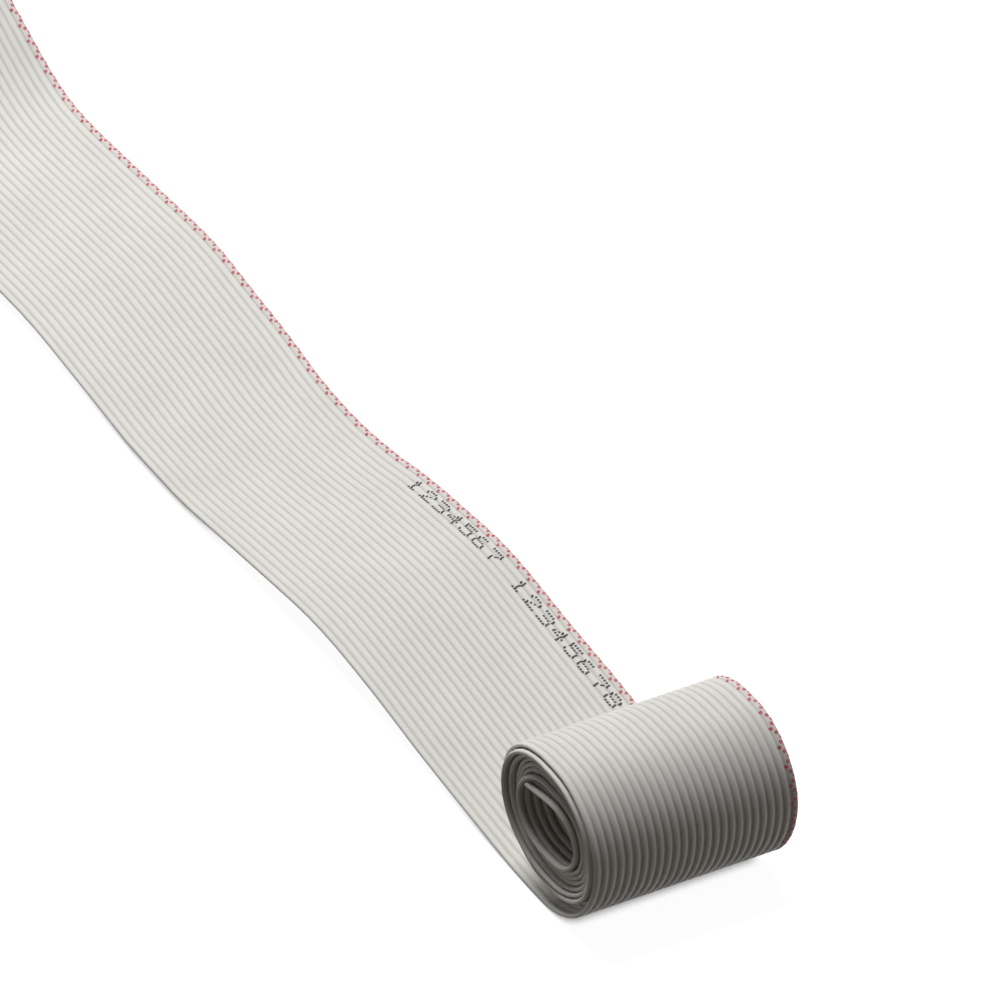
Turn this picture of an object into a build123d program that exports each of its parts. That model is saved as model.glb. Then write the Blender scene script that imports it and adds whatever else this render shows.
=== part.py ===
"""Flat grey ribbon cable: a row of stranded conductors in one ridged strip of soft plastic.

The strip lies on a table in low waves and is rolled up loosely at one end. Its middle line
is a chain of straight pieces and tangent arcs in the XZ plane, from the free end to the end
inside the roll. The strip's section is extruded along the one and revolved round the other.
Millimetres, +X along the run towards the roll, +Y across it to the marked edge, +Z up.
"""

import os
from math import atan2, cos, degrees, radians, sin, sqrt

from build123d import *

# Section of the strip
CONDUCTORS = 26
PITCH = 1.27  # from one conductor to the next
THICKNESS = 0.79  # over the ridges
WEB = 0.30  # at the grooves
WIRE = 0.38  # a conductor, across its corners

# Run, from the free end to the roll
END_LENGTH = 19.8  # straight piece at the free end
END_CLIMB = 26.0  # degrees, how steeply the free end stands up
END_BEND = 22.9  # radius of the bend at its foot
FAR_HUMP_RISE = 40.6  # each hump's length on the table before its top, and after it
FAR_HUMP_FALL = 40.6
FAR_HUMP_HEIGHT = 3.1
NEAR_HUMP_RISE = 46.8
NEAR_HUMP_FALL = 58.2
NEAR_HUMP_HEIGHT = 5.6
HUMP_BEND = 46.0  # radius at the tops and in the troughs
LEAD = 4.5  # flat on the table just before the roll

# Roll
TURNS = 7  # whole turns inside the first half turn
TURN_CLEARANCE = 0.05  # between two turns
INNER_RADIUS = 5.89  # of the innermost turn, to the middle of the strip
INNER_SLACK = 0.4  # by which the last bend of all is tighter than that
ROLL_FLAT = 1.8  # straight stretch at the top and the bottom of each turn
ROLL_LIFT = 3.5  # from the run up to the turn over it, beyond the usual clearance
TIP_DROOP = 12.0  # degrees, how far the inner end leans down
TIP_CLEARANCE = 0.2  # from the inner end to the turn round it

WIDTH = CONDUCTORS * PITCH
TURN_PITCH = THICKNESS + TURN_CLEARANCE
ROLL_RADIUS = INNER_RADIUS + TURNS * TURN_PITCH
WIRE_SIDES = 6  # six strands round a seventh make a conductor six-sided


class Route:
    """The middle line, and the pieces of strip that have been laid along it so far."""

    def __init__(self, climb):
        self.spot, self.climb = Vector(0, 0, 0), climb
        self.length = 0.0
        self.pieces = []

    def plane(self):
        """The section plane here: x across the cable, y to its upper or inner face."""
        ahead = (cos(radians(self.climb)), 0, sin(radians(self.climb)))
        return Plane(origin=self.spot, x_dir=(0, 1, 0), z_dir=ahead)

    def straight(self, length, section):
        plane = self.plane()
        self.pieces.append(extrude(plane * section, amount=length, dir=plane.z_dir))
        self.spot += plane.z_dir * length
        self.length += length

    def arc(self, radius, turn, section):
        """Turn by so many degrees, to the upper or inner side where they are positive."""
        plane = self.plane()
        side = 1 if turn > 0 else -1
        centre = self.spot + plane.y_dir * radius * side
        axis = Axis(centre, (0, -side, 0))
        self.pieces.append(revolve(plane * section, axis=axis, revolution_arc=abs(turn)))
        self.climb += turn
        self.spot = centre - self.plane().y_dir * radius * side
        self.length += radius * radians(abs(turn))
        return centre

    def quarter_turn(self, radius, section):
        self.arc(radius, 90, section)

    def half_turn(self, radius, section):
        return self.arc(radius, 180, section)

    def slope(self, span, height, section):
        """Half a hump, level at both ends: an arc, a straight slope and an arc back."""
        side = 1 if height > 0 else -1
        between = (span, abs(height) - 2 * HUMP_BEND)  # from one arc's centre to the other's
        length = sqrt(between[0] ** 2 + between[1] ** 2 - (2 * HUMP_BEND) ** 2)
        turn = side * degrees(atan2(between[1], between[0]) + atan2(2 * HUMP_BEND, length))
        self.arc(HUMP_BEND, turn, section)
        self.straight(length, section)
        self.arc(HUMP_BEND, -turn, section)

    def reach(self, centre, limit):
        """How far straight on the outer face comes to a circle that it starts inside."""
        plane = self.plane()
        start = self.spot - plane.y_dir * THICKNESS / 2 - centre
        along = start.dot(plane.z_dir)
        return sqrt(along**2 - start.dot(start) + limit**2) - along


def face_line(ridged, side):
    """One face of the section, from edge to edge: a ridge over each conductor, or flat."""
    if not ridged:
        return [(0, side * THICKNESS / 2), (WIDTH, side * THICKNESS / 2)]
    line = [(0, side * WEB / 2)]
    for i in range(CONDUCTORS):
        line.append(((i + 0.5) * PITCH, side * THICKNESS / 2))
        line.append(((i + 1) * PITCH, side * WEB / 2))
    return line


def strip_section(upper_ridges, lower_ridges):
    outline = face_line(lower_ridges, -1) + face_line(upper_ridges, 1)[::-1]
    return make_face(Polyline(*outline, close=True))


def wire_sections():
    row = Pos(WIDTH / 2, 0) * GridLocations(PITCH, 0, CONDUCTORS, 1)
    return [place * RegularPolygon(WIRE / 2, WIRE_SIDES) for place in row]


wires = wire_sections()
ridged = strip_section(True, True)
upper_ridged = strip_section(True, False)
outer_ridged = strip_section(False, True)
plain = strip_section(False, False)

# The free end stands up a little from the table. Its straight piece has the ridges on both
# faces. From there on only the face that shows has them: the run's upper one.
route = Route(-END_CLIMB)
free_end = route.plane()
route.straight(END_LENGTH, ridged - wires)
route.arc(END_BEND, END_CLIMB, upper_ridged)

# The run's two humps, each back on the table at its end
route.slope(FAR_HUMP_RISE, FAR_HUMP_HEIGHT, upper_ridged)
route.slope(FAR_HUMP_FALL, -FAR_HUMP_HEIGHT, upper_ridged)
route.slope(NEAR_HUMP_RISE, NEAR_HUMP_HEIGHT, upper_ridged)
route.slope(NEAR_HUMP_FALL, -NEAR_HUMP_HEIGHT, upper_ridged)
route.straight(LEAD, upper_ridged)

# The first turn: a wide quarter up from the table, then over the top. The faces of the turns
# that lie on one another are plain, and the ridges are on the outside of the roll.
route.quarter_turn(ROLL_RADIUS + ROLL_LIFT, outer_ridged)
route.quarter_turn(ROLL_RADIUS, outer_ridged)
for turn in range(TURNS):
    section = outer_ridged if turn == 0 else plain
    left_radius = ROLL_RADIUS - (turn + 0.5) * TURN_PITCH
    right_radius = ROLL_RADIUS - (turn + 1) * TURN_PITCH
    route.straight(ROLL_FLAT, section)
    left_centre = route.half_turn(left_radius, section)
    route.straight(ROLL_FLAT, plain)
    if turn < TURNS - 1:
        route.half_turn(right_radius, plain)
    else:
        route.arc(right_radius - INNER_SLACK, 180 + TIP_DROOP, plain)

# The inner end, straight until it comes close to the turn round it
tip_length = route.reach(left_centre, left_radius - THICKNESS / 2 - TIP_CLEARANCE)
inner_end = route.plane()
route.straight(tip_length, plain - wires)

# The pieces only meet face to face, end to end
first, *others = route.pieces
strip = first.fuse(*others, glue=True)

# The conductors are modelled in the straight pieces at the two cut ends, flush with the cuts
box = strip.bounding_box()
to_origin = Pos(-box.center().X, -box.center().Y, -box.min.Z)
os.makedirs("parts", exist_ok=True)
export_step(to_origin * strip, "parts/insulation.step")
for number, wire in enumerate(wires, start=1):
    ends = [
        to_origin * extrude(end * wire, amount=length, dir=end.z_dir)
        for end, length in ((free_end, END_LENGTH), (inner_end, tip_length))
    ]
    export_step(Compound(children=ends), f"parts/conductor_{number:02d}.step")

print("cable length", round(route.length, 1), "tip", round(tip_length, 2))
print("solids", len(strip.solids()), "volume", round(strip.volume, 1), "size", box.size)
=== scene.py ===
"""Ribbon cable: the strip of soft plastic with its conductors, its printed edge and numerals.

The cable lies in low waves and is rolled up at one end. One path, worked out from its run
and its roll, carries everything: the ridged strip, the strands at the cuts and the print.
"""

import math

import bpy
import numpy as np
from mathutils import Matrix, Vector


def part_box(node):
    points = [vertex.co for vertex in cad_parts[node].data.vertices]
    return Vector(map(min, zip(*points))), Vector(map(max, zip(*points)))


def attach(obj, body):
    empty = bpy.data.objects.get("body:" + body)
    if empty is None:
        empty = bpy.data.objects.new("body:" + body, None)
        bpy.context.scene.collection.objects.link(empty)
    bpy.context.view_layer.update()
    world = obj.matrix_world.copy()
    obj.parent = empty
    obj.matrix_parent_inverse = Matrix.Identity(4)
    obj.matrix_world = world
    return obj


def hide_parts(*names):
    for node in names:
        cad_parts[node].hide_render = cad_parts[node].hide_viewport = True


bl_info = {
    "name": "Ribbon cable",
    "version": (1, 0, 0),
    "blender": (4, 5, 0),
    "location": "3D View > Sidebar > Ribbon cable",
    "description": "Builds a rolled ribbon cable, its print and a plain studio round it",
    "category": "Object",
}

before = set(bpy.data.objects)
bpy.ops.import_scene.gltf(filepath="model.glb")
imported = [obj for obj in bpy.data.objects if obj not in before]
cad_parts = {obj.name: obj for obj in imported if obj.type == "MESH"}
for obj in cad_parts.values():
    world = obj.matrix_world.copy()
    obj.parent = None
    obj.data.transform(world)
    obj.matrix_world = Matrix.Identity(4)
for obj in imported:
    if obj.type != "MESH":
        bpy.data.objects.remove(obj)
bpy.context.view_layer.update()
STRIP_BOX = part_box("insulation")
WIRES = [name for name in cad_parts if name.startswith("conductor")]

MM = 0.001

# Path: how finely it is worked out, and the turn or the length that takes one point of it
FINE_STATIONS, STATIONS = 24001, 6001
POINT_TURN, POINT_STEP = math.radians(14), 6 * MM
LIE_FADE = 10 * MM  # over which the lie of the run fades out at the roll
SKEW_FADE = 50 * MM  # over which the roll's skew fades in on the run

# Places of the section's points on each ridge, as shares of the pitch
RIDGE_SHARES = (0.0, 0.14, 0.26, 0.50, 0.74, 0.86)
# How far out on the round of an outer ridge its section goes, and the print on it, as shares
# of the round's width: just short of where it has no height
SECTION_REACH, PRINT_REACH = 0.4995, 0.49

# How the cable lies, by places along the table in mm: how much higher the marked edge is than
# the other one, and how far the cable has swayed to that side
LIE = (
    (-118, 0.0, 0.0),
    (-73, 0.5, 0.0),
    (-50, 0.9, 0.0),
    (-31, 0.3, -0.2),
    (-8, -1.2, -0.7),
    (4, -0.8, -0.4),
    (17, 0.3, 0.0),
    (35, 0.3, 0.0),
    (54, -0.2, 0.0),
    (69, 0.7, 0.0),
    (94, 0.0, 0.0),
)
# How far the roll's turns have slid towards the plain edge, by turns from the table, in mm
SLIDES = (
    (0.15, 0.0),
    (0.28, -0.3),
    (0.44, -0.3),
    (0.55, 0.0),
    (0.75, 0.0),
    (1.25, 0.2),
    (1.75, 0.7),
    (2.25, -0.5),
    (2.75, -0.1),
    (3.25, -0.8),
    (3.75, -0.9),
    (4.25, -1.0),
    (4.75, -0.7),
    (5.25, -1.1),
    (5.75, -0.5),
    (6.25, -0.9),
    (6.75, 0.5),
    (7.25, -0.4),
    (7.55, 0.5),
)

# Places of the edge mark's dots across the marked ridge, one after another along the cable
ZIGZAG = (0.13, 0.53, 0.86, 0.53)

# Dot-matrix numerals, seven rows from the top
NUMERALS = {
    "1": ("..#..", ".##..", "..#..", "..#..", "..#..", "..#..", ".###."),
    "2": (".###.", "#...#", "....#", "...#.", "..#..", ".#...", "#####"),
    "3": ("####.", "....#", "....#", ".###.", "....#", "....#", "####."),
    "4": ("...#.", "..##.", ".#.#.", "#..#.", "#####", "...#.", "...#."),
    "5": ("#####", "#....", "####.", "....#", "....#", "#...#", ".###."),
    "6": (".###.", "#....", "#....", "####.", "#...#", "#...#", ".###."),
    "7": ("#####", "....#", "...#.", "...#.", "..#..", "..#..", "..#.."),
    "8": (".###.", "#...#", "#...#", ".###.", "#...#", "#...#", ".###."),
}
PRINTED_NUMERALS = "1234567 12345678"

# What a tree has to know of the strip's section
SECTION = {
    "Conductors": "NodeSocketInt",
    "Pitch": "NodeSocketFloat",
    "Ridge": "NodeSocketFloat",
    "Thickness": "NodeSocketFloat",
    "Web": "NodeSocketFloat",
}


def linear(code, alpha=1.0):
    """An sRGB hex colour as linear red, green, blue and alpha."""
    shares = [int(code[i : i + 2], 16) / 255 for i in (1, 3, 5)]
    colour = [c / 12.92 if c <= 0.04045 else ((c + 0.055) / 1.055) ** 2.4 for c in shares]
    return (*colour, alpha)


def length_value(name, description, millimetres):
    """A length property, with its default in mm."""
    return bpy.props.FloatProperty(
        name=name,
        description=description,
        default=millimetres * MM,
        min=0.0,
        precision=5,
        unit="LENGTH",
    )


def angle_value(name, description, degrees):
    """An angle property, with its default in degrees."""
    return bpy.props.FloatProperty(
        name=name, description=description, default=math.radians(degrees), subtype="ANGLE"
    )


def colour_value(name, description, code):
    """A colour property, with its default as an sRGB hex colour."""
    return bpy.props.FloatVectorProperty(
        name=name,
        description=description,
        default=linear(code),
        size=4,
        min=0.0,
        max=1.0,
        subtype="COLOR",
    )


class CableSizes(bpy.types.PropertyGroup):
    conductors: bpy.props.IntProperty(
        name="Conductors", description="Conductors side by side", default=len(WIRES), min=2
    )
    pitch: length_value("Pitch", "From one conductor to the next", 1.27)
    thickness: length_value("Thickness", "Over the ridges", 0.74)
    web: length_value("Web", "Thickness at the grooves", 0.16)
    ridge: length_value("Ridge", "Width of the round over a conductor", 1.08)
    strand: length_value("Strand", "Diameter of one of the seven copper strands", 0.127)
    end_length: length_value("End length", "Straight piece at the free end", 19.8)
    end_climb: angle_value("End climb", "How steeply the free end stands up", 26.0)
    end_bend: length_value("End bend", "Radius at the foot of the free end", 22.9)
    far_rise: length_value("Far hump rise", "Its length before the top", 40.6)
    far_fall: length_value("Far hump fall", "Its length after the top", 40.6)
    far_height: length_value("Far hump height", "Height of its top", 3.1)
    near_rise: length_value("Near hump rise", "Its length before the top", 46.8)
    near_fall: length_value("Near hump fall", "Its length after the top", 58.2)
    near_height: length_value("Near hump height", "Height of its top", 5.6)
    hump_bend: length_value("Hump bend", "Radius at the tops and in the troughs", 46.0)
    lead: length_value("Lead", "Flat on the table just before the roll", 4.5)
    turns: bpy.props.IntProperty(
        name="Turns", description="Whole turns inside the first half turn", default=7, min=1
    )
    turn_clearance: length_value("Turn clearance", "Between two turns", 0.08)
    inner_radius: length_value("Inner radius", "Of the innermost turn", 6.03)
    inner_slack: length_value("Inner slack", "The last bend is tighter by this", 0.4)
    roll_flat: length_value("Roll flat", "Straight stretch above and below", 1.8)
    roll_spread: length_value("Roll spread", "By which that grows with each turn inwards", 0.08)
    roll_lift: length_value("Roll lift", "From the run up to the turn over it", 3.5)
    tip_droop: angle_value("Tip droop", "How far the inner end leans down", 12.0)
    tip_length: length_value("Tip length", "Straight piece at the inner end", 5.4)
    skew: angle_value("Skew", "How far the roll is turned from square to the run", 3.4)
    run_softness: length_value("Run softness", "Over which the run's bends fade in", 12.5)
    roll_softness: length_value("Roll softness", "Over which the roll's bends fade in", 2.5)


class CablePrint(bpy.types.PropertyGroup):
    zigzag: length_value("Zigzag", "Length of one zigzag of the edge mark", 2.89)
    edge_dot: length_value("Edge dot", "Diameter of a dot of the edge mark", 0.60)
    ink_dot: length_value("Ink dot", "Diameter of a dot of the numerals", 0.45)
    numeral_height: length_value("Numeral height", "Across the cable", 1.82)
    numeral_width: length_value("Numeral width", "Along the cable", 2.35)
    numeral_pitch: length_value("Numeral pitch", "From one numeral to the next", 3.75)
    numeral_inset: length_value("Numeral inset", "From the marked edge to their tops", 2.03)
    numeral_end: length_value("Numeral end", "From the last one to the roll's foot", 27.6)
    proud: length_value("Proud", "How far print and strands stand out", 0.014)


class CableColours(bpy.types.PropertyGroup):
    ridge: colour_value("Ridge", "The plastic on the ridges", "#DDDBD6")
    # The groove colour is painted shade: a darker grey for the shade that falls in the grooves
    groove: colour_value("Groove", "The plastic in the grooves", "#BEBBB4")
    marked_edge: colour_value("Marked edge", "Ground of the red mark", "#E0CFCA")
    red: colour_value("Red", "Ink of the edge mark", "#B43F52")
    black: colour_value("Black", "Ink of the numerals", "#1A1716")
    copper: colour_value("Copper", "Cut strands", "#C98A66")


def add(tree, kind, inputs=(), **settings):
    """Add a node with its settings, and fill or link its inputs, by name or by number."""
    node = tree.nodes.new(kind)
    for name, value in settings.items():
        setattr(node, name, value)
    for key, value in dict(inputs).items():
        if isinstance(value, bpy.types.Node):
            value = value.outputs[0]
        if isinstance(value, bpy.types.NodeSocket):
            tree.links.new(value, node.inputs[key])
        else:
            node.inputs[key].default_value = value
    return node


def new_tree(name, sockets):
    """A geometry tree with named inputs, and its input and output nodes."""
    tree = bpy.data.node_groups.new(name, "GeometryNodeTree")
    for socket, kind in sockets.items():
        tree.interface.new_socket(socket, in_out="INPUT", socket_type=kind)
    tree.interface.new_socket("Geometry", in_out="OUTPUT", socket_type="NodeSocketGeometry")
    return tree, tree.nodes.new("NodeGroupInput"), tree.nodes.new("NodeGroupOutput")


def grown(name, tree, values, points=()):
    """A plain mesh object that a tree grows from points, with its inputs set by name."""
    seed = bpy.data.meshes.new(name)
    seed.from_pydata(points, [], [])
    holder = bpy.data.objects.new(name + "_seed", seed)
    bpy.context.collection.objects.link(holder)
    modifier = holder.modifiers.new(name, "NODES")
    modifier.node_group = tree
    for item in tree.interface.items_tree:
        if item.item_type == "SOCKET" and item.in_out == "INPUT" and item.name in values:
            modifier[item.identifier] = values[item.name]
    graph = bpy.context.evaluated_depsgraph_get()
    mesh = bpy.data.meshes.new_from_object(
        holder.evaluated_get(graph), preserve_all_data_layers=True, depsgraph=graph
    )
    mesh.name = name
    holder.modifiers.remove(modifier)
    bpy.data.objects.remove(holder)
    bpy.data.meshes.remove(seed)
    piece = bpy.data.objects.new(name, mesh)
    bpy.context.collection.objects.link(piece)
    return piece


def stretches(s):
    """The middle line from the free end to the end in the roll: lengths, and turns in radians."""
    line = [(s.end_length, 0.0), (s.end_bend * s.end_climb, s.end_climb)]
    for span, height in (
        (s.far_rise, s.far_height),
        (s.far_fall, -s.far_height),
        (s.near_rise, s.near_height),
        (s.near_fall, -s.near_height),
    ):
        drop = abs(height) - 2 * s.hump_bend
        slope = math.sqrt(span**2 + drop**2 - (2 * s.hump_bend) ** 2)
        turn = math.atan2(drop, span) + math.atan2(2 * s.hump_bend, slope)
        side = math.copysign(turn, height)
        line += [(s.hump_bend * turn, side), (slope, 0.0), (s.hump_bend * turn, -side)]
    line.append((s.lead, 0.0))
    run = sum(length for length, _ in line)

    step = s.thickness + s.turn_clearance
    radius = s.inner_radius + s.turns * step
    quarter, half = math.pi / 2, math.pi
    line += [((radius + s.roll_lift) * quarter, quarter), (radius * quarter, quarter)]
    for turn in range(s.turns):
        left, right = radius - (turn + 0.5) * step, radius - (turn + 1) * step
        last = turn == s.turns - 1
        swing = half + s.tip_droop if last else half
        right -= s.inner_slack if last else 0.0
        over = s.roll_flat + turn * s.roll_spread
        under = over + s.roll_spread / 2
        line += [(over, 0.0), (left * half, half), (under, 0.0), (right * swing, swing)]
    line.append((s.tip_length, 0.0))
    return line, run


def eased(at, stations):
    """Values between stations, with an even start and end to each change."""
    places, values = np.array(stations).T
    i = np.clip(np.searchsorted(places, at) - 1, 0, len(places) - 2)
    share = np.clip((at - places[i]) / (places[i + 1] - places[i]), 0.0, 1.0)
    return values[i] + (values[i + 1] - values[i]) * share**2 * (3 - 2 * share)


def cable_path(s):
    """Points of the middle line, close together where it bends, the directions across the
    cable there, the cable's length and the run's."""
    line, run = stretches(s)
    lengths, turns = np.array(line).T
    ends = np.concatenate([[0.0], np.cumsum(lengths)])
    headings = np.concatenate([[0.0], np.cumsum(turns)]) - s.end_climb
    total = ends[-1]

    # The bends fade in and out: each heading is the mean of those just before and after it
    fine = np.linspace(-total / 10, total * 1.1, FINE_STATIONS)
    mean = np.concatenate([[0.0], np.cumsum(np.diff(fine) * np.interp(fine[1:], ends, headings))])
    at = np.linspace(0.0, total, STATIONS)
    blend = np.clip((at - run + s.run_softness) / s.run_softness, 0.0, 1.0)
    window = s.run_softness + (s.roll_softness - s.run_softness) * blend
    after, before = np.interp(at + window / 2, fine, mean), np.interp(at - window / 2, fine, mean)
    heading = (after - before) / window

    steps = np.diff(at)
    middle = (heading[1:] + heading[:-1]) / 2
    x = np.concatenate([[0.0], np.cumsum(steps * np.cos(middle))])
    z = np.concatenate([[0.0], np.cumsum(steps * np.sin(middle))])
    x += STRIP_BOX[0][0] + math.sin(s.end_climb) * s.thickness / 2
    z += s.thickness / 2 - z[at < run].min()

    # The lie of the run fades out at the roll, whose turns have slid and which is askew
    in_run = np.clip((run - at) / LIE_FADE, 0.0, 1.0)
    lie = np.array(LIE)
    twist = eased(x / MM, lie[:, :2]) * MM * in_run
    sway = eased(x / MM, lie[:, [0, 2]]) * MM * in_run
    y = sway - eased(heading / (2 * math.pi), SLIDES) * MM
    z += np.maximum(np.abs(twist) / 2 - (z - s.thickness / 2), 0.0)
    lean = math.tan(s.skew) * eased(at, ((run - SKEW_FADE, 0.0), (run, 1.0)))
    across = np.stack([lean, np.ones_like(at), twist / (s.conductors * s.pitch)], axis=1)

    effort = np.abs(np.diff(heading)) / POINT_TURN + steps / POINT_STEP
    effort = np.concatenate([[0.0], np.cumsum(effort)])
    picked = np.interp(np.linspace(0, effort[-1], math.ceil(effort[-1]) + 1), effort, at)
    points = np.stack([np.interp(picked, at, axis) for axis in (x, y, z)], axis=1)
    sides = np.stack([np.interp(picked, at, axis) for axis in across.T], axis=1)
    return points, sides, total, run


def path_object(s):
    """The middle line as a row of edges, for the trees to follow. main() removes it."""
    found = bpy.data.objects.get("cable_path")
    if found:
        return found
    points, sides, _, _ = cable_path(s)
    mesh = bpy.data.meshes.new("cable_path")
    mesh.from_pydata(points.tolist(), [(i, i + 1) for i in range(len(points) - 1)], [])
    across = mesh.attributes.new("across", "FLOAT_VECTOR", "POINT")
    across.data.foreach_set("vector", sides.ravel())
    path = bpy.data.objects.new("cable_path", mesh)
    bpy.context.collection.objects.link(path)
    return path


def path_group():
    """The path as a curve whose normals point across the cable."""
    found = bpy.data.node_groups.get("Path of the cable")
    if found:
        return found
    tree, given, out = new_tree("Path of the cable", {"Path": "NodeSocketObject"})
    path = add(tree, "GeometryNodeObjectInfo", {"Object": given.outputs["Path"]})
    curve = add(tree, "GeometryNodeMeshToCurve", {"Mesh": path.outputs["Geometry"]})
    side = add(
        tree, "GeometryNodeInputNamedAttribute", {"Name": "across"}, data_type="FLOAT_VECTOR"
    )
    turned = add(
        tree, "GeometryNodeSetCurveNormal", {"Curve": curve, "Normal": side}, mode="FREE"
    )
    tree.links.new(turned.outputs[0], out.inputs[0])
    return tree


def ridge_group():
    """Half the strip's thickness, by the place across it, counted in conductors."""
    found = bpy.data.node_groups.get("Ridges")
    if found:
        return found
    tree = bpy.data.node_groups.new("Ridges", "GeometryNodeTree")
    for name in ("Across", *SECTION):
        tree.interface.new_socket(name, in_out="INPUT", socket_type="NodeSocketFloat")
    tree.interface.new_socket("Height", in_out="OUTPUT", socket_type="NodeSocketFloat")
    given, out = tree.nodes.new("NodeGroupInput"), tree.nodes.new("NodeGroupOutput")
    across, count = given.outputs["Across"], given.outputs["Conductors"]

    # Each conductor's own round, as far as it goes: its height is an ellipse's, by the root
    # of 1 - 4 x x, where x is the share of its width from the middle
    share = add(tree, "ShaderNodeMath", {0: across}, operation="FRACT")
    off = add(tree, "ShaderNodeMath", {0: share, 1: 0.5}, operation="SUBTRACT")
    apart = add(tree, "ShaderNodeMath", {0: off, 1: given.outputs["Pitch"]}, operation="MULTIPLY")
    ratio = add(tree, "ShaderNodeMath", {0: apart, 1: given.outputs["Ridge"]}, operation="DIVIDE")
    square = add(tree, "ShaderNodeMath", {0: ratio, 1: ratio}, operation="MULTIPLY")
    rest = add(tree, "ShaderNodeMath", {0: square, 1: -4.0, 2: 1.0}, operation="MULTIPLY_ADD")
    kept = add(tree, "ShaderNodeMath", {0: rest, 1: 0.0}, operation="MAXIMUM")
    rise = add(tree, "ShaderNodeMath", {0: kept}, operation="SQRT")
    top = add(
        tree, "ShaderNodeMath", {0: given.outputs["Thickness"], 1: 0.5}, operation="MULTIPLY"
    )
    round_part = add(tree, "ShaderNodeMath", {0: rise, 1: top}, operation="MULTIPLY")

    # The web joins it to the next one, so the two outer edges have none
    other = add(tree, "ShaderNodeMath", {0: count, 1: across}, operation="SUBTRACT")
    nearest = add(tree, "ShaderNodeMath", {0: across, 1: other}, operation="MINIMUM")
    joined = add(tree, "ShaderNodeMath", {0: nearest, 1: 0.5}, operation="GREATER_THAN")
    half = add(tree, "ShaderNodeMath", {0: given.outputs["Web"], 1: 0.5}, operation="MULTIPLY")

    # From there it is straight up to the first point on the round
    aside = 0.5 - RIDGE_SHARES[1]
    reach = add(
        tree, "ShaderNodeMath", {0: given.outputs["Pitch"], 1: aside}, operation="MULTIPLY"
    )
    part = add(tree, "ShaderNodeMath", {0: reach, 1: given.outputs["Ridge"]}, operation="DIVIDE")
    squared = add(tree, "ShaderNodeMath", {0: part, 1: part}, operation="MULTIPLY")
    left = add(tree, "ShaderNodeMath", {0: squared, 1: -4.0, 2: 1.0}, operation="MULTIPLY_ADD")
    shoulder = add(
        tree,
        "ShaderNodeMath",
        {0: add(tree, "ShaderNodeMath", {0: left}, operation="SQRT"), 1: top},
        operation="MULTIPLY",
    )
    size = add(tree, "ShaderNodeMath", {0: off}, operation="ABSOLUTE")
    slope = add(
        tree,
        "ShaderNodeMapRange",
        {"Value": size, "From Min": 0.5, "From Max": aside, "To Min": half, "To Max": shoulder},
    )
    web = add(tree, "ShaderNodeMath", {0: slope, 1: joined}, operation="MULTIPLY")
    height = add(tree, "ShaderNodeMath", {0: round_part, 1: web}, operation="MAXIMUM")
    tree.links.new(height.outputs[0], out.inputs[0])
    return tree


def ridge_height(tree, given, across):
    """Half the strip's thickness at a place across it, by the section that a tree was given."""
    inputs = {name: given.outputs[name] for name in SECTION} | {"Across": across}
    return add(tree, "GeometryNodeGroup", inputs, node_tree=ridge_group())


def end_tree(tree, given, out, geometry):
    """End a tree with plain geometry in the material that it was given."""
    plain = add(tree, "GeometryNodeRealizeInstances", {"Geometry": geometry})
    done = add(
        tree,
        "GeometryNodeSetMaterial",
        {"Geometry": plain, "Material": given.outputs["Material"]},
    )
    tree.links.new(done.outputs[0], out.inputs[0])
    return tree


def lay_group():
    """Lay flat things on the cable: x goes along its path, y across it and z off its face."""
    found = bpy.data.node_groups.get("Lay on the cable")
    if found:
        return found
    tree, given, out = new_tree(
        "Lay on the cable", {"Geometry": "NodeSocketGeometry", "Path": "NodeSocketObject"}
    )
    path = add(tree, "GeometryNodeGroup", {"Path": given.outputs["Path"]}, node_tree=path_group())
    flat = add(tree, "ShaderNodeSeparateXYZ", {0: add(tree, "GeometryNodeInputPosition")})
    whole = add(tree, "GeometryNodeCurveLength", {0: path})
    along = add(tree, "ShaderNodeClamp", {"Value": flat.outputs[0], "Min": 0.0, "Max": whole})
    past = add(tree, "ShaderNodeMath", {0: flat.outputs[0], 1: along}, operation="SUBTRACT")
    here = add(tree, "GeometryNodeSampleCurve", {"Curves": path, "Length": along}, mode="LENGTH")
    up = add(
        tree,
        "ShaderNodeVectorMath",
        {0: here.outputs["Tangent"], 1: here.outputs["Normal"]},
        operation="CROSS_PRODUCT",
    )
    place = here.outputs["Position"]
    for direction, amount in (
        (here.outputs["Tangent"], past),
        (here.outputs["Normal"], flat.outputs[1]),
        (up, flat.outputs[2]),
    ):
        scaled = {0: direction, "Scale": amount}
        part = add(tree, "ShaderNodeVectorMath", scaled, operation="SCALE")
        place = add(tree, "ShaderNodeVectorMath", {0: place, 1: part}, operation="ADD")
    laid = add(
        tree, "GeometryNodeSetPosition", {"Geometry": given.outputs["Geometry"], "Position": place}
    )
    tree.links.new(laid.outputs[0], out.inputs[0])
    return tree


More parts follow.
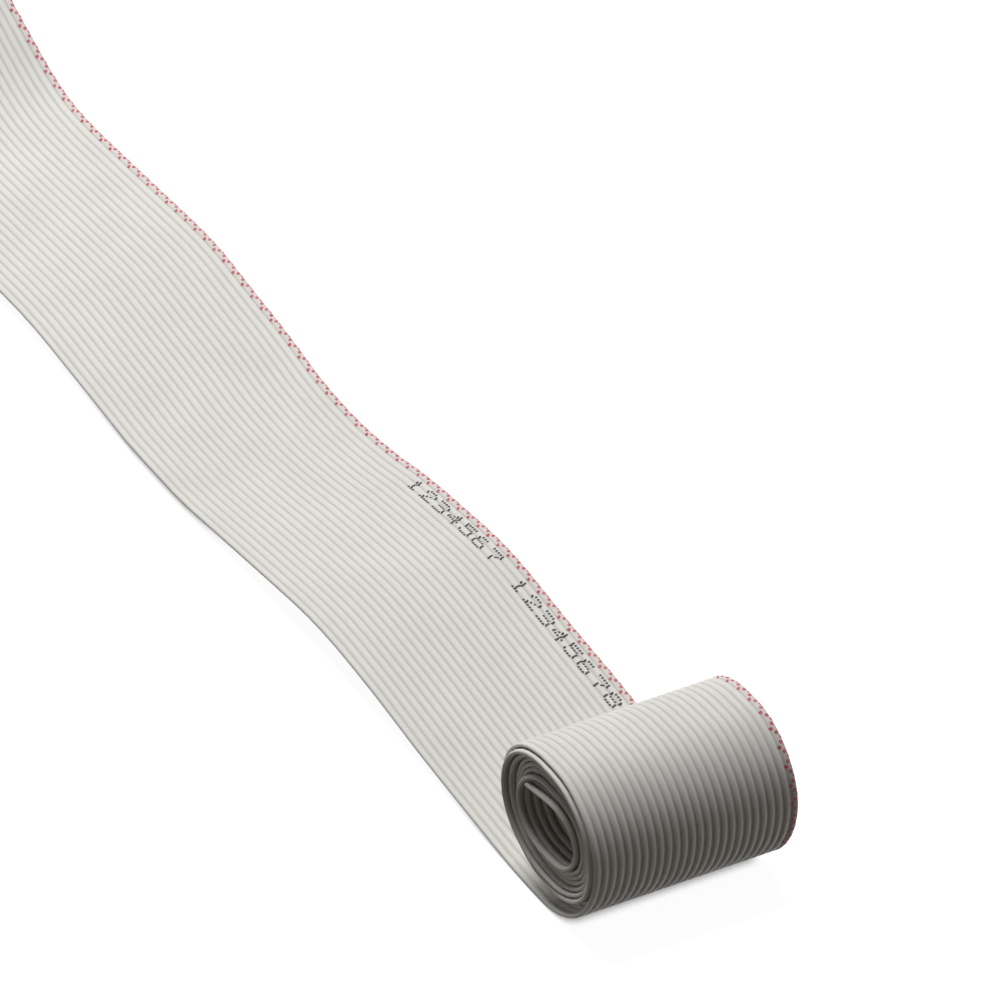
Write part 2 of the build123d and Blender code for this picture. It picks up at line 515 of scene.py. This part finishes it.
def strip_tree():
    """The strip: a section with a rounded ridge over each conductor, drawn along the path."""
    tree, given, out = new_tree(
        "Ridged strip",
        {"Path": "NodeSocketObject", **SECTION, "Material": "NodeSocketMaterial"},
    )
    count, pitch = given.outputs["Conductors"], given.outputs["Pitch"]

    # The first half of the points are the upper face, the rest the lower one on the way back
    spans = add(tree, "ShaderNodeMath", {0: count, 1: len(RIDGE_SHARES)}, operation="MULTIPLY")
    face = add(tree, "ShaderNodeMath", {0: spans, 1: 1}, operation="ADD")
    loop = add(tree, "ShaderNodeMath", {0: face, 1: 2}, operation="MULTIPLY")
    ring = add(tree, "GeometryNodeCurvePrimitiveCircle", {"Resolution": loop}, mode="RADIUS")
    index = add(tree, "GeometryNodeInputIndex")
    upper = add(tree, "ShaderNodeMath", {0: index, 1: face}, operation="LESS_THAN")
    turned = add(tree, "ShaderNodeMath", {0: loop, 1: 1}, operation="SUBTRACT")
    back = add(tree, "ShaderNodeMath", {0: turned, 1: index}, operation="SUBTRACT")
    number = add(tree, "ShaderNodeMix", {"Factor": upper, 2: back, 3: index}, data_type="FLOAT")
    ridges = add(tree, "ShaderNodeMath", {0: number, 1: len(RIDGE_SHARES)}, operation="DIVIDE")
    ridge = add(tree, "ShaderNodeMath", {0: ridges}, operation="FLOOR")
    place = add(tree, "ShaderNodeMath", {0: number, 1: len(RIDGE_SHARES)}, operation="MODULO")
    share = add(tree, "GeometryNodeIndexSwitch", data_type="FLOAT")
    while len(share.index_switch_items) < len(RIDGE_SHARES):
        share.index_switch_items.new()
    tree.links.new(place.outputs[0], share.inputs[0])
    for i, value in enumerate(RIDGE_SHARES):
        share.inputs[i + 1].default_value = value
    spread = add(tree, "ShaderNodeMath", {0: ridge, 1: share}, operation="ADD")

    # Each outer edge is the round of its own conductor
    edge = add(tree, "ShaderNodeMath", {0: given.outputs["Ridge"], 1: pitch}, operation="DIVIDE")
    inset = add(
        tree, "ShaderNodeMath", {0: edge, 1: -SECTION_REACH, 2: 0.5}, operation="MULTIPLY_ADD"
    )
    far = add(tree, "ShaderNodeMath", {0: count, 1: inset}, operation="SUBTRACT")
    across = add(tree, "ShaderNodeClamp", {"Value": spread, "Min": inset, "Max": far})
    height = ridge_height(tree, given, across)
    side = add(tree, "ShaderNodeMath", {0: upper, 1: 2.0, 2: -1.0}, operation="MULTIPLY_ADD")
    level = add(tree, "ShaderNodeMath", {0: height, 1: side}, operation="MULTIPLY")
    middle = add(tree, "ShaderNodeMath", {0: count, 1: -0.5}, operation="MULTIPLY")
    offset = add(tree, "ShaderNodeMath", {0: across, 1: middle}, operation="ADD")
    width = add(tree, "ShaderNodeMath", {0: offset, 1: pitch}, operation="MULTIPLY")
    spot = add(tree, "ShaderNodeCombineXYZ", {0: width, 1: level})
    section = add(tree, "GeometryNodeSetPosition", {"Geometry": ring, "Position": spot})
    around = add(tree, "ShaderNodeMath", {0: index, 1: loop}, operation="DIVIDE")
    for name, value in (("conductor", across), ("around", around)):
        section = add(
            tree,
            "GeometryNodeStoreNamedAttribute",
            {"Geometry": section, "Name": name, "Value": value},
            data_type="FLOAT",
        )
    path = add(tree, "GeometryNodeGroup", {"Path": given.outputs["Path"]}, node_tree=path_group())
    measured = add(
        tree,
        "GeometryNodeStoreNamedAttribute",
        {
            "Geometry": path,
            "Name": "along",
            "Value": add(tree, "GeometryNodeSplineParameter").outputs["Length"],
        },
        data_type="FLOAT",
    )
    strip = add(
        tree,
        "GeometryNodeCurveToMesh",
        {"Curve": measured, "Profile Curve": section, "Fill Caps": True},
    )

    # Ridges shade smoothly, the two cuts are flat
    corners = add(tree, "GeometryNodeInputMeshFaceNeighbors").outputs["Vertex Count"]
    four = add(tree, "ShaderNodeMath", {0: corners, 1: 4.5}, operation="LESS_THAN")
    strip = add(tree, "GeometryNodeSetShadeSmooth", {"Geometry": strip, "Shade Smooth": four})
    along = add(tree, "GeometryNodeInputNamedAttribute", {"Name": "along"}, data_type="FLOAT")
    round_it = add(tree, "GeometryNodeInputNamedAttribute", {"Name": "around"}, data_type="FLOAT")
    length = add(tree, "GeometryNodeCurveLength", {0: path})
    down = add(tree, "ShaderNodeMath", {0: along, 1: length}, operation="DIVIDE")
    strip = add(
        tree,
        "GeometryNodeStoreNamedAttribute",
        {
            "Geometry": strip,
            "Name": "OFBake",
            "Value": add(tree, "ShaderNodeCombineXYZ", {0: round_it, 1: down}),
        },
        data_type="FLOAT2",
        domain="CORNER",
    )
    return end_tree(tree, given, out, strip)


def marks_tree():
    """Printed dots: a disc at each flat point, bent over the ridges and laid on the cable, on
    the upper face where the point's z is above 0 and on the lower one where it is below."""
    tree, given, out = new_tree(
        "Printed dots",
        {
            "Geometry": "NodeSocketGeometry",
            "Path": "NodeSocketObject",
            "Diameter": "NodeSocketFloat",
            **SECTION,
            "Proud": "NodeSocketFloat",
            "Material": "NodeSocketMaterial",
        },
    )
    radius = add(
        tree, "ShaderNodeMath", {0: given.outputs["Diameter"], 1: 0.5}, operation="MULTIPLY"
    )
    disc = add(
        tree,
        "GeometryNodeMeshCircle",
        {"Vertices": 8, "Radius": radius},
        fill_type="TRIANGLE_FAN",
    )
    disc = add(tree, "GeometryNodeSubdivideMesh", {"Mesh": disc, "Level": 1})
    dots = add(
        tree,
        "GeometryNodeInstanceOnPoints",
        {"Points": given.outputs["Geometry"], "Instance": disc},
    )
    dots = add(tree, "GeometryNodeRealizeInstances", {"Geometry": dots})
    flat = add(tree, "ShaderNodeSeparateXYZ", {0: add(tree, "GeometryNodeInputPosition")})
    under = add(tree, "ShaderNodeMath", {0: flat.outputs[2], 1: 0.0}, operation="LESS_THAN")
    dots = add(tree, "GeometryNodeFlipFaces", {"Mesh": dots, "Selection": under})
    side = add(tree, "ShaderNodeMath", {0: flat.outputs[2]}, operation="SIGN")

    # As high as the strip is there, kept off the very edge
    count, pitch = given.outputs["Conductors"], given.outputs["Pitch"]
    ridges = add(tree, "ShaderNodeMath", {0: flat.outputs[1], 1: pitch}, operation="DIVIDE")
    half = add(tree, "ShaderNodeMath", {0: count, 1: 0.5}, operation="MULTIPLY")
    across = add(tree, "ShaderNodeMath", {0: ridges, 1: half}, operation="ADD")
    edge = add(tree, "ShaderNodeMath", {0: given.outputs["Ridge"], 1: pitch}, operation="DIVIDE")
    inset = add(
        tree, "ShaderNodeMath", {0: edge, 1: -PRINT_REACH, 2: 0.5}, operation="MULTIPLY_ADD"
    )
    far = add(tree, "ShaderNodeMath", {0: count, 1: inset}, operation="SUBTRACT")
    kept = add(tree, "ShaderNodeClamp", {"Value": across, "Min": inset, "Max": far})
    surface = ridge_height(tree, given, kept)
    height = add(
        tree, "ShaderNodeMath", {0: surface, 1: given.outputs["Proud"]}, operation="ADD"
    )
    level = add(tree, "ShaderNodeMath", {0: height, 1: side}, operation="MULTIPLY")
    from_middle = add(tree, "ShaderNodeMath", {0: kept, 1: half}, operation="SUBTRACT")
    width = add(tree, "ShaderNodeMath", {0: from_middle, 1: pitch}, operation="MULTIPLY")
    spot = add(tree, "ShaderNodeCombineXYZ", {0: flat.outputs[0], 1: width, 2: level})
    bent = add(tree, "GeometryNodeSetPosition", {"Geometry": dots, "Position": spot})
    laid = add(
        tree,
        "GeometryNodeGroup",
        node_tree=lay_group(),
        inputs={"Geometry": bent, "Path": given.outputs["Path"]},
    )
    return end_tree(tree, given, out, laid)


def strands_tree():
    """Seven strands in each conductor, a short way into the strip at the two cuts."""
    tree, given, out = new_tree(
        "Cut strands",
        {
            "Path": "NodeSocketObject",
            "Conductors": "NodeSocketInt",
            "Pitch": "NodeSocketFloat",
            "Strand": "NodeSocketFloat",
            "Free end": "NodeSocketFloat",
            "Inner end": "NodeSocketFloat",
            "Proud": "NodeSocketFloat",
            "Material": "NodeSocketMaterial",
        },
    )
    strand, proud = given.outputs["Strand"], given.outputs["Proud"]
    radius = add(tree, "ShaderNodeMath", {0: strand, 1: 0.5}, operation="MULTIPLY")
    outer = add(tree, "GeometryNodeMeshCircle", {"Vertices": 6, "Radius": strand})
    middle = add(tree, "GeometryNodeMeshLine", {"Count": 1})
    seven = add(tree, "GeometryNodeJoinGeometry")
    tree.links.new(outer.outputs[0], seven.inputs[0])
    tree.links.new(middle.outputs[0], seven.inputs[0])

    count, pitch = given.outputs["Conductors"], given.outputs["Pitch"]
    half = add(tree, "ShaderNodeMath", {0: count, 1: -0.5, 2: 0.5}, operation="MULTIPLY_ADD")
    first = add(tree, "ShaderNodeMath", {0: half, 1: pitch}, operation="MULTIPLY")
    row = add(
        tree,
        "GeometryNodeMeshLine",
        {
            "Count": count,
            "Start Location": add(tree, "ShaderNodeCombineXYZ", {1: first}),
            "Offset": add(tree, "ShaderNodeCombineXYZ", {1: pitch}),
        },
    )
    path = add(tree, "GeometryNodeGroup", {"Path": given.outputs["Path"]}, node_tree=path_group())
    whole = add(tree, "GeometryNodeCurveLength", {0: path})
    both = add(tree, "GeometryNodeJoinGeometry")
    for depth, cut, inwards in (
        (given.outputs["Free end"], 0.0, 1.0),
        (given.outputs["Inner end"], whole, -1.0),
    ):
        long = add(tree, "ShaderNodeMath", {0: depth, 1: proud}, operation="ADD")
        rod = add(
            tree,
            "GeometryNodeMeshCylinder",
            {"Vertices": 8, "Radius": radius, "Depth": long},
            fill_type="TRIANGLE_FAN",
        )
        bundle = add(
            tree,
            "GeometryNodeInstanceOnPoints",
            {"Points": seven, "Instance": rod.outputs["Mesh"]},
        )
        solid = add(tree, "GeometryNodeRealizeInstances", {"Geometry": bundle})
        inward = add(tree, "ShaderNodeMath", {0: depth, 1: proud}, operation="SUBTRACT")
        centre = add(
            tree, "ShaderNodeMath", {0: inward, 1: 0.5 * inwards, 2: cut}, operation="MULTIPLY_ADD"
        )
        lying = add(
            tree,
            "GeometryNodeTransform",
            {
                "Geometry": solid,
                "Translation": add(tree, "ShaderNodeCombineXYZ", {0: centre}),
                "Rotation": (0.0, math.pi / 2, 0.0),
            },
        )
        all_wires = add(tree, "GeometryNodeInstanceOnPoints", {"Points": row, "Instance": lying})
        tree.links.new(all_wires.outputs[0], both.inputs[0])
    flat = add(tree, "GeometryNodeRealizeInstances", {"Geometry": both})
    laid = add(
        tree,
        "GeometryNodeGroup",
        node_tree=lay_group(),
        inputs={"Geometry": flat, "Path": given.outputs["Path"]},
    )
    return end_tree(tree, given, out, laid)


def new_material(name):
    """A material with an empty node tree, its surface shader and that shader's tree."""
    material = bpy.data.materials.new(name)
    material.use_nodes = True
    tree = material.node_tree
    tree.nodes.clear()
    shader = tree.nodes.new("ShaderNodeBsdfPrincipled")
    add(tree, "ShaderNodeOutputMaterial", {"Surface": shader})
    return material, tree, shader


def soft_pvc(colours, sizes):
    """Extruded soft PVC: dull satin grey, with painted shade in the grooves and faint draw lines.
    """
    material, tree, shader = new_material("soft_pvc_extruded")
    across = add(tree, "ShaderNodeAttribute", attribute_name="conductor").outputs["Fac"]
    along = add(tree, "ShaderNodeAttribute", attribute_name="along").outputs["Fac"]
    share = add(tree, "ShaderNodeMath", {0: across}, operation="FRACT")
    centred = add(tree, "ShaderNodeMath", {0: share, 1: 0.5}, operation="SUBTRACT")
    apart = add(tree, "ShaderNodeMath", {0: centred}, operation="ABSOLUTE")
    # Painted shade in the grooves: a darker grey from halfway down the side of each ridge
    groove = add(
        tree,
        "ShaderNodeMapRange",
        {"Value": apart, "From Min": 0.28, "From Max": 0.5},
        interpolation_type="SMOOTHSTEP",
    )
    ground = add(
        tree,
        "ShaderNodeMix",
        {"Factor": groove, 6: colours.ridge, 7: colours.groove},
        data_type="RGBA",
    )
    # The red ink has run out a little over the marked ridge
    outer = sizes.conductors - 1.0
    marked = add(
        tree,
        "ShaderNodeMapRange",
        {"Value": across, "From Min": outer + 0.1, "From Max": outer + 0.5},
        interpolation_type="SMOOTHSTEP",
    )
    tinted = add(
        tree,
        "ShaderNodeMix",
        {"Factor": marked, 6: ground.outputs[2], 7: colours.marked_edge},
        data_type="RGBA",
    )
    # Handling leaves slightly duller patches, about 9 mm wide
    where = add(tree, "ShaderNodeTexCoord").outputs["Object"]
    patches = add(
        tree,
        "ShaderNodeTexNoise",
        {"Vector": where, "Scale": 1 / (9 * MM), "Detail": 3.0, "Roughness": 0.55},
    )
    shade = add(
        tree,
        "ShaderNodeMapRange",
        {"Value": patches, "From Min": 0.3, "From Max": 0.7, "To Min": 0.965, "To Max": 1.02},
    )
    final = add(
        tree,
        "ShaderNodeMix",
        {"Factor": 1.0, 6: tinted.outputs[2], 7: shade},
        data_type="RGBA",
        blend_type="MULTIPLY",
    )
    tree.links.new(final.outputs[2], shader.inputs["Base Color"])
    gloss = add(
        tree,
        "ShaderNodeMapRange",
        {"Value": patches, "From Min": 0.3, "From Max": 0.7, "To Min": 0.40, "To Max": 0.50},
    )
    tree.links.new(gloss.outputs[0], shader.inputs["Roughness"])
    # Draw lines run along the cable, five to each ridge and about 40 mm long
    down = add(tree, "ShaderNodeMath", {0: along, 1: 1 / (40 * MM)}, operation="MULTIPLY")
    aside = add(tree, "ShaderNodeMath", {0: across, 1: 5.0}, operation="MULTIPLY")
    lines = add(
        tree,
        "ShaderNodeTexNoise",
        {
            "Vector": add(tree, "ShaderNodeCombineXYZ", {0: down, 1: aside}),
            "Scale": 1.0,
            "Detail": 2.0,
        },
    )
    bump = add(
        tree, "ShaderNodeBump", {"Strength": 0.25, "Distance": 0.02 * MM, "Height": lines}
    )
    tree.links.new(bump.outputs[0], shader.inputs["Normal"])
    shader.inputs["IOR"].default_value = 1.53
    shader.inputs["Specular IOR Level"].default_value = 0.12
    return material


def printed_ink(name, colour, wear):
    """Jet-printed ink on plastic: dull, and thinner in places where less of it took."""
    material, tree, shader = new_material(name)
    # Thinner patches are about 0.8 mm wide, and the plastic's grey shows through them
    where = add(tree, "ShaderNodeTexCoord").outputs["Object"]
    thin = add(
        tree,
        "ShaderNodeTexNoise",
        {"Vector": where, "Scale": 1 / (0.8 * MM), "Detail": 2.0},
    )
    amount = add(
        tree,
        "ShaderNodeMapRange",
        {"Value": thin, "From Min": 0.35, "From Max": 0.75, "To Min": 0.0, "To Max": wear},
    )
    cover, ground = 0.55, linear("#DCDAD5")
    worn = tuple(cover * c + (1 - cover) * g for c, g in zip(colour, ground))
    final = add(
        tree, "ShaderNodeMix", {"Factor": amount, 6: tuple(colour), 7: worn}, data_type="RGBA"
    )
    tree.links.new(final.outputs[2], shader.inputs["Base Color"])
    shader.inputs["Roughness"].default_value = 0.55
    shader.inputs["IOR"].default_value = 1.5
    return material


def cut_copper(colour):
    """Bare copper wire, sheared off: warm metal with a dulled, slightly dragged face."""
    material, tree, shader = new_material("bare_copper_cut")
    # The shears have dragged it in marks of about 0.05 mm, and it is a third darker in them
    where = add(tree, "ShaderNodeTexCoord").outputs["Object"]
    drag = add(
        tree,
        "ShaderNodeTexNoise",
        {"Vector": where, "Scale": 1 / (0.05 * MM), "Detail": 1.0},
    )
    darker = tuple(0.62 * c for c in colour[:3]) + (1.0,)
    tint = add(
        tree, "ShaderNodeMix", {"Factor": drag, 6: darker, 7: tuple(colour)}, data_type="RGBA"
    )
    tree.links.new(tint.outputs[2], shader.inputs["Base Color"])
    rough = add(tree, "ShaderNodeMapRange", {"Value": drag, "To Min": 0.28, "To Max": 0.45})
    tree.links.new(rough.outputs[0], shader.inputs["Roughness"])
    shader.inputs["Metallic"].default_value = 1.0
    return material


def looked_at(tree):
    """Whether a ray comes from the camera, straight or by way of a reflection."""
    rays = add(tree, "ShaderNodeLightPath")
    seen = rays.outputs["Is Camera Ray"]
    for other in ("Is Glossy Ray", "Is Transmission Ray"):
        inputs = {0: seen, 1: rays.outputs[other]}
        seen = add(tree, "ShaderNodeMath", inputs, operation="MAXIMUM")
    return seen


def white_paper():
    """Studio paper: white to the eye, with a share of the light on it so that it keeps the
    shadow. It throws little light back, so the cable's shaded side stays dark."""
    material = bpy.data.materials.new("white_paper")
    material.use_nodes = True
    tree = material.node_tree
    tree.nodes.clear()
    seen = looked_at(tree)
    paper = add(tree, "ShaderNodeBsdfDiffuse", {"Color": linear("#504339")})
    lit = add(tree, "ShaderNodeBsdfDiffuse", {"Color": linear("#A2A2A2")})
    # Painted shadow where the roll stands on it, deep and a few millimetres wide
    painted_shadow_closeness = add(tree, "ShaderNodeAmbientOcclusion", {"Distance": 3.4 * MM}, samples=16)
    depth = add(
        tree,
        "ShaderNodeMapRange",
        {"Value": painted_shadow_closeness.outputs["AO"], "From Min": 0.1, "From Max": 0.5},
        interpolation_type="SMOOTHSTEP",
    )
    level = add(
        tree,
        "ShaderNodeMix",
        {"Factor": depth, 6: linear("#303030"), 7: linear("#F9F9F9")},
        data_type="RGBA",
    )
    white = add(tree, "ShaderNodeEmission", {"Color": level.outputs[2], "Strength": 1.0})
    shown = add(tree, "ShaderNodeAddShader", {0: white, 1: lit})
    mixed = add(tree, "ShaderNodeMixShader", {0: seen, 1: paper, 2: shown})
    add(tree, "ShaderNodeOutputMaterial", {"Surface": mixed})
    return material


def studio_world():
    """Weak light from all round, and white where it is looked at."""
    world = bpy.data.worlds.new("studio")
    world.use_nodes = True
    tree = world.node_tree
    tree.nodes.clear()
    seen = looked_at(tree)
    light = add(tree, "ShaderNodeBackground", {"Color": linear("#FFFFFF"), "Strength": 0.008})
    white = add(tree, "ShaderNodeBackground", {"Color": linear("#FFFFFF"), "Strength": 1.0})
    mixed = add(tree, "ShaderNodeMixShader", {0: seen, 1: light, 2: white})
    add(tree, "ShaderNodeOutputWorld", {"Surface": mixed})
    return world


def strip_values(s, path):
    """What the trees are given of the cable's path and section."""
    return {
        "Path": path,
        "Conductors": s.conductors,
        "Pitch": s.pitch,
        "Ridge": s.ridge,
        "Thickness": s.thickness,
        "Web": s.web,
    }


class CABLE_OT_strip(bpy.types.Operator):
    """Build the ridged strip of soft plastic along the cable's path"""

    bl_idname = "cable.strip"
    bl_label = "Strip"

    def execute(self, context):
        s, colours = context.scene.cable_sizes, context.scene.cable_colours
        path = path_object(s)
        values = strip_values(s, path) | {"Material": soft_pvc(colours, s)}
        strip = grown("ribbon", strip_tree(), values)
        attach(strip, "root")
        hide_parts("insulation")
        _, _, length, _ = cable_path(s)
        return {"FINISHED"}


class CABLE_OT_strands(bpy.types.Operator):
    """Build the copper strands that show at the two cut ends"""

    bl_idname = "cable.strands"
    bl_label = "Strands"

    def execute(self, context):
        s, p = context.scene.cable_sizes, context.scene.cable_print
        values = strip_values(s, path_object(s)) | {
            "Strand": s.strand,
            "Free end": s.end_length,
            "Inner end": s.tip_length,
            # The shears leave the strands further out than the print is
            "Proud": 2 * p.proud,
            "Material": cut_copper(context.scene.cable_colours.copper),
        }
        strands = grown("strands", strands_tree(), values)
        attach(strands, "root")
        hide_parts(*WIRES)
        return {"FINISHED"}


class CABLE_OT_edge_mark(bpy.types.Operator):
    """Print the red zigzag of dots along one edge, on both faces"""

    bl_idname = "cable.edge_mark"
    bl_label = "Edge mark"

    def execute(self, context):
        s, p = context.scene.cable_sizes, context.scene.cable_print
        _, _, length, _ = cable_path(s)
        step = p.zigzag / len(ZIGZAG)
        groove = (s.conductors / 2 - 1) * s.pitch
        points = []
        for i in range(1, int(length / step)):
            across = groove + ZIGZAG[i % len(ZIGZAG)] * s.pitch
            # The lower face's zigzag is a step and a half further on
            points += [(i * step, across, MM), ((i + 1.5) * step, across, -MM)]
        values = strip_values(s, path_object(s)) | {
            "Diameter": p.edge_dot,
            "Proud": p.proud,
            "Material": printed_ink("red_jet_ink", context.scene.cable_colours.red, wear=0.6),
        }
        mark = grown("edge_mark", marks_tree(), values, points)
        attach(mark, "root")
        return {"FINISHED"}


class CABLE_OT_numerals(bpy.types.Operator):
    """Print plain running numerals beside the marked edge"""

    bl_idname = "cable.numerals"
    bl_label = "Numerals"

    def execute(self, context):
        s, p = context.scene.cable_sizes, context.scene.cable_print
        _, _, _, run = cable_path(s)
        top = s.conductors * s.pitch / 2 - p.numeral_inset
        start = run - p.numeral_end - len(PRINTED_NUMERALS) * p.numeral_pitch
        points = []
        for place, sign in enumerate(PRINTED_NUMERALS):
            rows = NUMERALS.get(sign, ())
            left = start + place * p.numeral_pitch
            for row, line in enumerate(rows):
                across = top - row * p.numeral_height / (len(rows) - 1)
                for column, dot in enumerate(line):
                    if dot == "#":
                        along = left + column * p.numeral_width / (len(line) - 1)
                        points.append((along, across, MM))
        values = strip_values(s, path_object(s)) | {
            "Diameter": p.ink_dot,
            # The black lies thicker than the red
            "Proud": 1.5 * p.proud,
            "Material": printed_ink(
                "black_jet_ink", context.scene.cable_colours.black, wear=0.12
            ),
        }
        numerals = grown("numerals", marks_tree(), values, points)
        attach(numerals, "root")
        return {"FINISHED"}


class CABLE_OT_stage(bpy.types.Operator):
    """Set up the floor, the soft light and the camera"""

    bl_idname = "cable.stage"
    bl_label = "Stage"

    def execute(self, context):
        scene = context.scene
        scene.view_settings.view_transform = "Standard"

        reach = 1.5
        corners = [(-reach, -reach, 0), (reach, -reach, 0), (reach, reach, 0), (-reach, reach, 0)]
        mesh = bpy.data.meshes.new("floor")
        mesh.from_pydata(corners, [], [(0, 1, 2, 3)])
        mesh.materials.append(white_paper())
        floor = bpy.data.objects.new("floor", mesh)
        context.collection.objects.link(floor)
        scene.world = studio_world()

        # Broad softboxes above and behind the cable, and weak ones low down at its two edges
        aim = Vector((0.04, 0.0, 0.0))
        for name, place, size, power in (
            ("softbox", (-0.22, 0.05, 0.85), 0.50, 6.4),
            ("back_box", (-0.55, 0.0, 0.70), 0.40, 2.5),
            ("marked_edge_box", (0.60, 0.60, 0.22), 0.30, 0.9),
            ("plain_edge_box", (0.05, -0.80, 0.25), 0.30, 0.5),
        ):
            lamp = bpy.data.lights.new(name, "AREA")
            lamp.shape = "SQUARE"
            lamp.size = size
            lamp.energy = power
            box = bpy.data.objects.new(name, lamp)
            box.location = place
            box.rotation_euler = (aim - Vector(place)).to_track_quat("-Z", "Y").to_euler()
            context.collection.objects.link(box)

        # The photograph's view: from above the roll's front, a long way off
        climb, swing, distance = math.radians(39.79), math.radians(30.72), 2.192
        right = Vector((math.sin(swing), math.cos(swing), 0.0))
        ahead = Vector(
            (
                -math.cos(climb) * math.cos(swing),
                math.cos(climb) * math.sin(swing),
                -math.sin(climb),
            )
        )
        upward = right.cross(ahead)
        # The roll's lower corner stands a little to the right of the picture's middle, and low
        corner, aside, below = Vector((0.10734, -0.01651, 0.00255)), 0.008563, 0.05880
        eye = corner - distance * ahead - aside * right + below * upward
        data = bpy.data.cameras.new("camera")
        data.sensor_width = 36.0
        data.lens = 553.0
        data.clip_end = 20.0
        camera = bpy.data.objects.new("camera", data)
        turn = Matrix((right, upward, -ahead)).transposed().to_4x4()
        camera.matrix_world = Matrix.Translation(eye) @ turn
        context.collection.objects.link(camera)
        scene.camera = camera
        return {"FINISHED"}


class CABLE_PT_panel(bpy.types.Panel):
    """Sizes, colours and the steps that build the cable"""

    bl_idname = "CABLE_PT_panel"
    bl_label = "Ribbon cable"
    bl_space_type = "VIEW_3D"
    bl_region_type = "UI"
    bl_category = "Ribbon cable"

    def draw(self, context):
        for step in STEPS:
            self.layout.operator(step.bl_idname)
        for name in GROUPS:
            box = self.layout.box()
            group = getattr(context.scene, name)
            for key in group.__annotations__:
                box.prop(group, key)


STEPS = (CABLE_OT_strip, CABLE_OT_strands, CABLE_OT_edge_mark, CABLE_OT_numerals, CABLE_OT_stage)
GROUPS = {"cable_sizes": CableSizes, "cable_print": CablePrint, "cable_colours": CableColours}


def register():
    for cls in (*GROUPS.values(), *STEPS, CABLE_PT_panel):
        bpy.utils.register_class(cls)
    for name, cls in GROUPS.items():
        setattr(bpy.types.Scene, name, bpy.props.PointerProperty(type=cls))


def unregister():
    for name in GROUPS:
        delattr(bpy.types.Scene, name)
    for cls in reversed((*GROUPS.values(), *STEPS, CABLE_PT_panel)):
        bpy.utils.unregister_class(cls)


def main():
    register()
    bpy.ops.cable.strip()
    bpy.ops.cable.strands()
    bpy.ops.cable.edge_mark()
    bpy.ops.cable.numerals()
    bpy.data.objects.remove(bpy.data.objects["cable_path"])
    bpy.ops.cable.stage()


if __name__ == "__main__":
    main()
